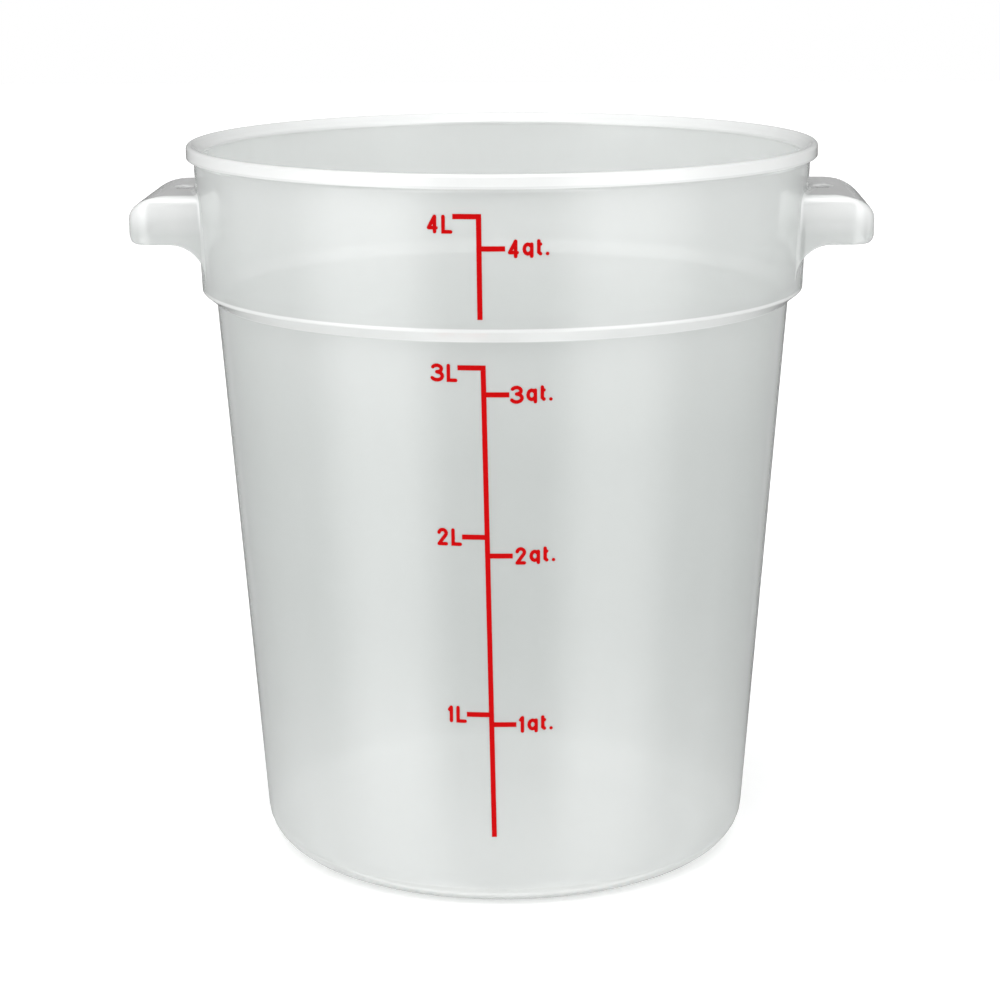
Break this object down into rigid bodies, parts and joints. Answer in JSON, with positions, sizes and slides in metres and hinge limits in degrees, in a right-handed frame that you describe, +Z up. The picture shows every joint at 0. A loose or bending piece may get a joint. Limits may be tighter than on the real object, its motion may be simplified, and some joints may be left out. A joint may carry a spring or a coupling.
{
  "type": "dough proofing container",
  "caption": "Round translucent food storage tub with a flared collar, rolled rim, hollow side handles and a red printed scale in litres and quarts.",
  "frame": {"origin": "centre of the base, on the surface that the tub stands on", "axes": "+Z up along the tub's axis, the printed scale faces -Y, the two handles lie along X"},
  "size_m": [0.2186, 0.1876, 0.2156],
  "materials": {
    "polypropylene": "milky translucent, glossy outside",
    "red_ink": "printed ink film, satin"
  },
  "bodies": {
    "root": {"container": "polypropylene", "scale_line_upper": "red_ink", "scale_line_lower": "red_ink", "label_1_litre": "red_ink", "label_2_litre": "red_ink", "label_3_litre": "red_ink", "label_4_litre": "red_ink", "label_1_quart": "red_ink", "label_2_quart": "red_ink", "label_3_quart": "red_ink", "label_4_quart": "red_ink"}
  },
  "joints": []
}
